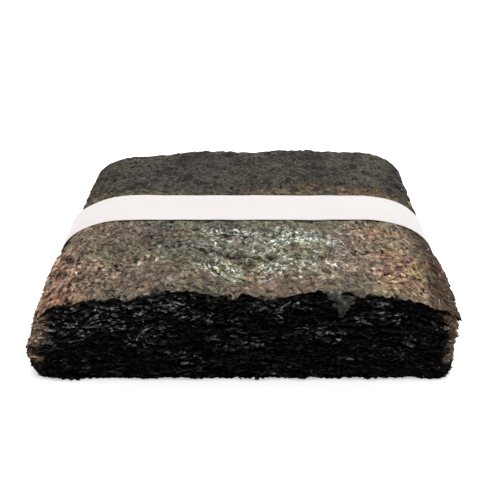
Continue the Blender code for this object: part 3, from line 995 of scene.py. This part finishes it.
def make_band(finish):
    """A thin paper ribbon round the pile, a little uneven, with square-cut edges."""
    path, outward = band_path()
    layers = [band_face(path, outward, offset) for offset in (BAND_PAPER, 0)]
    grid = point_grid(BAND_STEPS, BAND_COLUMNS)
    outer = grid_faces(np.concatenate([grid, grid[:1]]))
    faces = [outer, outer[:, ::-1] + grid.size]
    for edge, step in ((grid[:, 0], -1), (grid[:, -1], 1)):
        faces.append(wall_faces(edge, edge + grid.size)[:, ::step])
    points = np.concatenate([layer.reshape(-1, 3) for layer in layers])
    piece = mesh_piece("band", points, np.concatenate(faces), [finish], None, ["paper_band"])
    made = bmesh.new()
    made.from_mesh(piece.data)
    bmesh.ops.recalc_face_normals(made, faces=made.faces)
    made.to_mesh(piece.data)
    made.free()


# Materials


class Nodes:
    """Adds and joins the nodes of one new material or world."""

    def __init__(self, name, kind="materials"):
        self.owner = getattr(bpy.data, kind).new(name)
        self.owner.use_nodes = True
        self.tree = self.owner.node_tree
        self.places = self.add("ShaderNodeTexCoord").outputs
        self.where = self.places["Object"]

    def add(self, kind, inputs=None, **settings):
        node = self.tree.nodes.new(kind)
        for name, value in settings.items():
            setattr(node, name, value)
        for name, value in (inputs or {}).items():
            self.put(node.inputs[name], value)
        return node

    def put(self, socket, value):
        if isinstance(value, bpy.types.NodeSocket):
            self.tree.links.new(value, socket)
        else:
            socket.default_value = value

    def parts(self, vector):
        return list(self.add("ShaderNodeSeparateXYZ", {"Vector": vector}).outputs)

    def colour_parts(self, colour):
        return list(self.add("ShaderNodeSeparateColor", {"Color": colour}).outputs)

    def noise(self, scale, detail=3.0, roughness=0.55, vector=None, kind="Fac"):
        inputs = {"Scale": scale, "Detail": detail, "Roughness": roughness, "Vector": vector or self.where}
        return self.add("ShaderNodeTexNoise", inputs).outputs[kind]

    def value(self, name):
        return self.add("ShaderNodeAttribute", attribute_name=name).outputs["Fac"]

    def maths(self, operation, a, b=0.0, c=0.0, clamp=False):
        node = self.add("ShaderNodeMath", operation=operation, use_clamp=clamp)
        for socket, value in zip(node.inputs, (a, b, c)):
            self.put(socket, value)
        return node.outputs[0]

    def times(self, a, b, clamp=False):
        return self.maths("MULTIPLY", a, b, clamp=clamp)

    def most(self, a, b):
        return self.maths("MAXIMUM", a, b)

    def shift(self, value, by, amount):
        """The value, raised where by is over a half and lowered where it is under."""
        return self.maths("MULTIPLY_ADD", self.maths("SUBTRACT", by, 0.5), amount, value)

    def vector(self, operation, a, b=(0, 0, 0), c=(0, 0, 0)):
        node = self.add("ShaderNodeVectorMath", operation=operation)
        for socket, value in zip(node.inputs, (a, b, c)):
            self.put(socket, value)
        return node.outputs["Value" if operation == "DOT_PRODUCT" else "Vector"]

    def ramp(self, value, stops, brightness=1.0):
        node = self.add("ShaderNodeValToRGB", {"Fac": value})
        steps = node.color_ramp.elements
        for _ in stops[2:]:
            steps.new(0.5)
        for step, (position, colour) in zip(steps, stops):
            step.position = position
            step.color = (*(brightness * part for part in colour), 1)
        return node.outputs["Color"]

    def blend(self, share, a, b):
        node = self.add("ShaderNodeMix", {"Factor": share, "A": a, "B": b}, data_type="FLOAT")
        return node.outputs["Result"]

    def mix(self, share, a, b, blend="MIX"):
        node = self.add("ShaderNodeMix", data_type="RGBA", blend_type=blend)
        self.put(node.inputs["Factor"], share)
        for socket, value in zip([s for s in node.inputs if s.type == "RGBA"], (a, b)):
            self.put(socket, value)
        return [s for s in node.outputs if s.type == "RGBA"][0]

    def tint(self, colour, tint, share=1.0):
        return self.mix(share, colour, (*tint, 1), "MULTIPLY")

    def shade(self, colour, light):
        parts = {"Red": light, "Green": light, "Blue": light}
        grey = self.add("ShaderNodeCombineColor", parts).outputs["Color"]
        return self.mix(1.0, colour, grey, "MULTIPLY")

    def between(self, value, low, high, start=0.0, end=1.0, **kind):
        """start where the value is at or below low, and end where it is at or above high."""
        inputs = {"Value": value, "From Min": low, "From Max": high, "To Min": start, "To Max": end}
        return self.add("ShaderNodeMapRange", inputs, clamp=True, **kind).outputs["Result"]

    def hill(self, x, y, across, along, width, length):
        """1 at a place, falling smoothly to 0 at the reach from it, both in mm."""
        u = self.maths("DIVIDE", self.maths("SUBTRACT", x, across * MM), width * MM)
        v = self.maths("DIVIDE", self.maths("SUBTRACT", y, along * MM), length * MM)
        return self.between(self.maths("MULTIPLY_ADD", u, u, self.times(v, v)), 1.0, 0.0)

    def cells(self, vector, scale, **kind):
        inputs = {"Vector": vector, "Scale": scale}
        return self.add("ShaderNodeTexVoronoi", inputs, voronoi_dimensions="2D", **kind).outputs

    def pits(self, vector, scale, reach):
        """1 in small round pits, of which each cell of a pattern has one at most."""
        pattern = self.cells(vector, scale)
        size = self.between(self.colour_parts(pattern["Color"])[2], 0.45, 1.0, 0.0, reach)
        return self.between(self.maths("SUBTRACT", pattern["Distance"], size), 0.03, 0.0)

    def cracks(self, vector, scale, half_width):
        """1 along thin broken lines, in parts of a net of cells."""
        net = self.cells(vector, scale, feature="DISTANCE_TO_EDGE")
        broken = self.between(self.noise(1.3 * scale, 2.0), 0.52, 0.58)
        return self.times(self.between(net["Distance"], half_width, 0.4 * half_width), broken)

    def bump(self, height, strength, distance):
        inputs = {"Height": height, "Strength": strength, "Distance": distance}
        return self.add("ShaderNodeBump", inputs).outputs["Normal"]

    def finish(self, colour, rough, shine, **more):
        inputs = {"Base Color": colour, "Roughness": rough, "Specular IOR Level": shine, **more}
        for name, value in inputs.items():
            self.put(self.tree.nodes["Principled BSDF"].inputs[name], value)
        return self.owner


def blade_cells(m, warped, layer, number):
    """The pattern of one layer's cells, and each point's place in its own cell."""
    heading, long, wide, _ = layer
    inputs = {
        "Vector": warped,
        "Location": (0.013 * number, 0.007 * number, 0),
        "Rotation": (0, 0, math.radians(heading)),
        "Scale": (long * MM, wide * MM, 1),
    }
    laid = m.add("ShaderNodeMapping", inputs, vector_type="TEXTURE").outputs["Vector"]
    pattern = m.cells(laid, 1.0)
    return pattern, m.vector("SUBTRACT", laid, pattern["Position"])


def lay_blades(m, warped, below, layer, number):
    """Lays one layer of blades, all with one heading, over the layers below.

    below and the result are a colour of three random numbers, the relief in metres, and the
    share of the light that reaches the surface."""
    heading, _, wide, fill = layer
    pattern, local = blade_cells(m, warped, layer, number)
    distance, colour = pattern["Distance"], pattern["Color"]
    mask = m.between(distance, fill, 0.85 * fill)
    lean = m.vector("DOT_PRODUCT", local, m.vector("SUBTRACT", colour, (0.5, 0.5, 0.5)))
    camber = m.between(distance, 0.0, fill, BLADE_CAMBER + BLADE_STEP, BLADE_STEP)
    own = m.maths("MULTIPLY_ADD", lean, 0.6 * wide * MM, camber)
    relief = m.maths("ADD", m.times(below[1], 0.4), own)
    turn = math.radians(heading)
    ahead = m.vector("DOT_PRODUCT", local, (-math.sin(turn), -math.cos(turn), 0))
    # painted shadow on the front side of each blade's edge
    shadow = m.times(m.between(distance, 1.45 * fill, fill, 0.0, 0.62), m.between(ahead, -0.1, 0.25))
    lit = m.times(below[2], m.maths("SUBTRACT", 1.0, shadow))
    return m.mix(mask, below[0], colour), m.blend(mask, below[1], relief), m.blend(mask, lit, 1.0)


def painted_glint_blades(m, warped):
    """1 on scattered narrow blades that are painted pale as highlights."""
    shine = 0.0
    for number, layer in enumerate(GLINT_LAYERS):
        pattern, _ = blade_cells(m, warped, layer, number + len(BLADE_LAYERS))
        chance = m.colour_parts(pattern["Color"])[0]
        blade = m.between(pattern["Distance"], layer[3], 0.6 * layer[3])
        shine = m.most(shine, m.times(blade, m.between(chance, 0.5, 0.85)))
    return shine


def shine_map(m, x, y):
    """How strongly each part of the top sheet shines: its gloss, and its painted highlights."""
    glint = 0.0
    for *spot, strength in GLINTS:
        glint = m.most(glint, m.times(m.hill(x, y, *spot), strength))
    glint = m.times(glint, m.between(m.noise(90), 0.36, 0.6, 0.15, 1.0))
    flash = m.times(m.hill(x, y, *FLASH), m.between(m.noise(170, 2.0), 0.4, 0.52, 0.5, 1.6))
    return m.maths("MAXIMUM", glint, flash, clamp=True)


class TopNodes(Nodes):
    """The nodes of the top sheet's upper face, with the fields that its parts share."""

    def __init__(self, name):
        super().__init__(name)
        self.x, self.y, _ = self.parts(self.where)
        self.out = self.maths("ABSOLUTE", self.x)
        self.side = self.between(self.out, *SIDE_FIELD)
        self.rear = self.between(self.y, *REAR_FIELD)
        warp = self.noise(210.0, 3.0, 0.5, kind="Color")
        self.warped = self.vector("MULTIPLY_ADD", warp, (1.8 * MM,) * 3, self.where)
        self.patches = self.noise(30)
        self.clumps = self.noise(105, 2.0)
        self.glint = shine_map(self, self.x, self.y)
        across = self.maths("MULTIPLY_ADD", self.y, 0.3, self.out)
        slanted = {"X": across, "Y": self.times(self.y, 0.2), "Z": self.x}
        slanted = self.add("ShaderNodeCombineXYZ", slanted).outputs["Vector"]
        self.strands = self.noise(440, 3.0, 0.6, slanted)
        laid = ((0.4, 0.4, 0.4, 1), 0.0, 1.0)
        for number, layer in enumerate(BLADE_LAYERS):
            laid = lay_blades(self, self.warped, laid, layer, number)
        self.chances = self.colour_parts(laid[0])
        self.relief, self.lit = laid[1:]

    def at_rear(self, ahead, behind):
        """One value in front of the band, and another behind it."""
        return self.between(self.rear, 0.0, 1.0, ahead, behind)

    def paleness(self):
        """Where each place is on the scale of colours: its blade's, and uneven in itself, made paler as
        painted light where the sheet shines and towards the right.
        """
        strength = self.most(self.between(self.glint, 0.0, 1.0, 0.54, 1.0), self.times(self.rear, 0.42))
        pale = self.shift(0.5, self.chances[0], strength)
        pale = self.shift(pale, self.value("tone"), 0.44)
        pale = self.shift(pale, self.patches, 0.8)
        pale = self.shift(pale, self.clumps, 0.7)
        # painted light: paler where the sheet shines, and towards the right
        pale = self.maths("MULTIPLY_ADD", self.glint, 0.17, pale)
        pale = self.maths("MULTIPLY_ADD", self.between(self.x, 0.02, 0.06), 0.14, pale)
        pale = self.shift(pale, self.strands, self.times(self.side, 2.4))
        return self.maths("MINIMUM", pale, self.between(self.side, 0.0, 1.0, 1.1, 0.82))

    def laver(self, pale):
        """The laver's colour: warmer to the sides and the front, and behind the band much darker and
        smokier, partly a purplish tint of its own and partly painted shade.
        """
        warm = self.most(self.side, self.between(self.y, *FRONT_FIELD, 0.0, 0.36))
        warm = self.maths("ADD", warm, self.between(self.patches, 0.4, 0.7, -0.3, 0.3))
        warm = self.shift(warm, self.chances[2], 0.45)
        warm = self.times(warm, self.at_rear(1.0, 0.45), clamp=True)
        colour = self.mix(warm, self.ramp(pale, COOL_NORI, 1.12), self.ramp(pale, WARM_NORI, 1.12))
        for scale, height, share, tint in NORI_TINTS:
            raised = self.vector("ADD", self.warped, (0, 0, height))
            patch = self.between(self.noise(scale, 3.0, 0.6, raised), share, share + 0.07)
            colour = self.tint(colour, tint, patch)
        mottled = self.shift(self.shift(pale, self.noise(62, 2.0), 0.9), self.patches, 0.7)
        # behind the band: a far darker ramp, partly painted shade, with a purplish tint
        smoky_shaded = self.tint(self.ramp(self.maths("MINIMUM", mottled, 0.74), COOL_NORI, 0.31), SMOKE_TINT)
        return self.mix(self.times(self.rear, 0.95), colour, smoky_shaded)

    def stained_and_painted_light(self, colour):
        # stains, and patches of painted light and painted shade, tinted into the colour
        uneven = self.shift(1.0, self.clumps, 4.0)
        for *spot, tint in STAINS_AND_PAINTED_LIGHT:
            stain_and_light = self.times(self.hill(self.x, self.y, *spot), uneven, clamp=True)
            colour = self.tint(colour, tint, stain_and_light)
        return colour

    def painted_glints(self):
        # painted highlight: on the narrow blades where the sheet shines, hardly any behind the band
        shine = self.times(painted_glint_blades(self, self.warped), self.between(self.glint, 0.1, 0.8, 0.05, 1.0))
        return self.times(self.times(shine, self.at_rear(1.0, 0.03)), 0.9)

    def shaded_margin(self):
        """Painted shade along the outline where the sheet turns down, above all at the right: 1 there."""
        margin = self.between(self.shift(self.out, self.clumps, 0.012), 0.081, 0.090)
        margin = self.times(margin, self.between(self.x, -0.01, 0.01, 0.1, 1.0))
        return self.times(margin, self.at_rear(1.0, 0.3))

    def gaps(self):
        """1 in pits and cracks, and in furrows along the strands at the sides."""
        stretched = self.vector("MULTIPLY", self.warped, (1.0, 0.6, 1.0))
        gaps = self.most(self.pits(stretched, 130.0, 0.12), self.cracks(self.warped, 42.0, 0.012))
        gaps = self.most(gaps, self.times(self.pits(stretched, 105.0, 0.3), self.times(self.rear, 0.85)))
        steep = self.between(self.out, 0.035, 0.07, 0.0, 0.8)
        furrows = self.times(self.between(self.strands, 0.40, 0.34), steep)
        furrows = self.times(furrows, self.between(self.x, -0.02, 0.02, 0.6, 1.0))
        gaps = self.most(gaps, self.times(furrows, self.between(self.rear, 0.0, 0.5, 1.0, 0.2)))
        left = self.times(self.between(self.x, -0.025, -0.055), self.between(self.rear, 0.0, 0.5, 0.9, 0.0))
        return self.most(gaps, self.times(self.pits(stretched, 150.0, 0.2), left))

    def roughness(self):
        smoothness = self.times(self.chances[1], self.between(self.glint, 0.0, 1.0, 0.6, 1.0))
        return self.blend(self.rear, self.between(smoothness, 0.4, 0.9, 0.68, 0.25), 0.75)


def nori_top():
    m = TopNodes("nori_top")
    colour = m.stained_and_painted_light(m.laver(m.paleness()))
    # painted highlight mixed into the colour
    colour = m.mix(m.painted_glints(), colour, PAINTED_GLINT_COLOUR)
    # painted shade along the outline
    colour = m.tint(colour, MARGIN_SHADE_TINT, m.shaded_margin())
    # painted shade: darker in the low places of the relief and in the blades' painted shadows, paler on the
    # high places
    colour = m.shade(colour, m.times(m.between(m.relief, -0.3 * MM, 0.3 * MM, 0.62, 1.32), m.lit))
    # painted shade: a dark colour in the hollows, stronger where the sheet shines
    hollow = m.between(m.value("hollow"), -0.02, -0.12)
    colour = m.mix(m.times(hollow, m.between(m.glint, 0.0, 0.8, 0.58, 0.9)), colour, HOLLOW_SHADE_COLOUR)
    colour = m.mix(m.gaps(), colour, GAP_COLOUR)
    normal = m.bump(m.maths("MULTIPLY_ADD", m.noise(1400, 2.0), 0.03 * MM, m.relief), 1.0, 1.0)
    return m.finish(colour, m.roughness(), 0.13, Normal=normal)


def nori_blade():
    m = Nodes("nori_blade")
    x, y, _ = m.parts(m.where)
    side = m.between(m.maths("ABSOLUTE", x), *SIDE_FIELD)
    warm = m.most(side, m.between(y, *FRONT_FIELD, 0.0, 0.55))
    warm = m.maths("SUBTRACT", m.maths("MULTIPLY_ADD", m.value("warmth"), 0.5, warm), 0.2, clamp=True)
    pale = m.maths("MULTIPLY_ADD", m.noise(500, 2.0), 0.3, m.times(m.value("tone"), 0.58))
    colour = m.mix(warm, m.ramp(pale, COOL_NORI), m.ramp(pale, WARM_NORI))
    rear = m.between(y, *REAR_FIELD)
    # darker behind the band, partly painted shade, as on the top sheet
    colour = m.mix(m.times(rear, 0.8), colour, m.ramp(pale, COOL_NORI, 0.32))
    rough = m.between(m.value("gloss"), 0.3, 1.0, 0.55, 0.25)
    return m.finish(colour, rough, 0.5, Normal=m.bump(m.noise(1800, 2.0), 0.3, 0.2 * MM))


def nori_flap():
    m = Nodes("nori_flap")
    pale = m.shift(m.value("tone"), m.noise(420, 4.0, 0.65), 1.8)
    normal = m.bump(m.noise(700, 3.0), 0.8, 0.6 * MM)
    colour = m.tint(m.ramp(pale, COOL_NORI, 0.34), FLAP_TINT)
    return m.finish(colour, 0.6, 0.2, Normal=normal)


def nori_cut(name, grain, dark_share, depth, shine):
    """Sheets seen edge-on: near-black, partly their own dark colour and partly painted shade; a
    little paler high up at the left, as painted light; and along the pile's sides a speckled brown, painted
    light that is brighter on the left."""
    m = Nodes(name)
    x, _, z = m.parts(m.where)
    flecks = m.noise(grain, 3.0, 0.6)
    # painted light: paler high up at the left
    pale = m.times(m.between(x, 0.0, -0.06), m.between(z, 0.012, 0.030))
    dark = m.mix(m.between(flecks, dark_share, 0.7), m.mix(pale, EDGE_DARK_AND_SHADED, EDGE_LIT_PALER), EDGE_FLECK)
    speckled = m.shift(0.46, flecks, 3.6)
    left = m.between(x, 0.01, -0.01)
    # painted light: the brown of the lit sides, brighter at the left
    brown = m.mix(left, m.ramp(speckled, WARM_NORI, 1.6), m.ramp(speckled, WARM_NORI, 1.85))
    colour = m.mix(m.value("side"), dark, brown)
    normal = m.bump(flecks, 0.6, depth)
    return m.finish(colour, 0.7, shine, Normal=normal)


def nori_chip():
    m = Nodes("nori_chip")
    tone = m.value("tone")
    pale = m.mix(m.value("hue"), CHIP_PALE_SHEEN_COOL, CHIP_PALE_SHEEN_WARM)
    # the chips' paleness, partly painted highlight, with painted shade under the top rim
    pale_and_lit = m.times(tone, m.between(m.noise(850, 2.0), 0.38, 0.62, 0.25, 1.3))
    dark = m.mix(m.between(pale_and_lit, 0.02, 0.8), EDGE_DARK_AND_SHADED, pale)
    # painted light: the brown of the lit sides
    brown = m.ramp(m.maths("MULTIPLY_ADD", tone, 0.8, 0.25), WARM_NORI, 1.6)
    colour = m.mix(m.value("side"), dark, brown)
    normal = m.bump(m.noise(1500, 2.0), 0.4, 0.2 * MM)
    return m.finish(colour, 0.5, 0.2, Normal=normal)


def band_paper():
    m = Nodes("band_paper")
    colour = m.mix(m.between(m.noise(30, 2.0), 0.35, 0.65), *PAPER_COLOURS)
    normal = m.bump(m.noise(900, 4.0, 0.7), 0.12, 0.2 * MM)
    return m.finish(colour, 0.75, 0.3, Normal=normal)


def floor_finish():
    m = Nodes("studio_floor")
    glow = {"Emission Color": (1, 1, 1, 1), "Emission Strength": 0.5}
    return m.finish(m.mix(m.noise(3, 2.0), *FLOOR_COLOURS), 0.9, 0.1, **glow)


# The studio


def make_floor():
    mesh = bpy.data.meshes.new("studio_floor")
    half = FLOOR_HALF_SIZE
    corners = [(-half, -half, 0), (half, -half, 0), (half, half, 0), (-half, half, 0)]
    mesh.from_pydata(corners, [], [(0, 1, 2, 3)])
    mesh.materials.append(floor_finish())
    floor = bpy.data.objects.new("studio_floor", mesh)
    floor.location.z = FLOOR_Z
    bpy.context.scene.collection.objects.link(floor)


def make_lights():
    for name, (place, target, size, power, colour) in LIGHTS.items():
        data = bpy.data.lights.new(name, "AREA")
        data.shape = "RECTANGLE"
        data.size, data.size_y = size
        data.energy = power
        data.color = colour
        light = bpy.data.objects.new(name, data)
        light.location = place
        light.rotation_euler = (Vector(target) - Vector(place)).to_track_quat("-Z", "Y").to_euler()
        bpy.context.scene.collection.objects.link(light)


def make_dome():
    """A soft dome that is dim low down, so that it leaves no haze on the nori. To the camera
    it is white."""
    m = Nodes("studio", "worlds")
    height = m.parts(m.places["Generated"])[2]
    glow = m.between(height, *DOME_RISE, *DOME_GLOW, interpolation_type="SMOOTHSTEP")
    seen = m.add("ShaderNodeLightPath").outputs["Is Camera Ray"]
    background = m.tree.nodes["Background"]
    m.put(background.inputs["Color"], DOME_COLOUR)
    m.put(background.inputs["Strength"], m.blend(seen, glow, 1.0))
    bpy.context.scene.world = m.owner


def make_camera():
    data = bpy.data.cameras.new("camera")
    data.sensor_width = SENSOR_WIDTH
    data.lens = SENSOR_WIDTH * LENS_PER_SENSOR
    camera = bpy.data.objects.new("camera", data)
    camera.location = CAMERA_PLACE
    camera.rotation_euler = (math.radians(90 - CAMERA_PITCH), 0, 0)
    bpy.context.scene.collection.objects.link(camera)
    bpy.context.scene.camera = camera


def main():
    margin = nori_cut("nori_margin", 520, 0.5, 0.5 * MM, 0.05)
    edge = nori_cut("nori_edge", 760, 0.52, 0.4 * MM, 0.03)
    rims, outward = make_pile([margin, edge])
    make_chips(rims, outward, nori_chip())
    surface = make_top_sheet([nori_top(), edge])
    make_loose_blades(surface, nori_blade())
    make_flap(nori_flap())
    make_band(band_paper())
    make_floor()
    make_dome()
    make_lights()
    make_camera()
    bpy.context.scene.view_settings.view_transform = "Standard"


main()
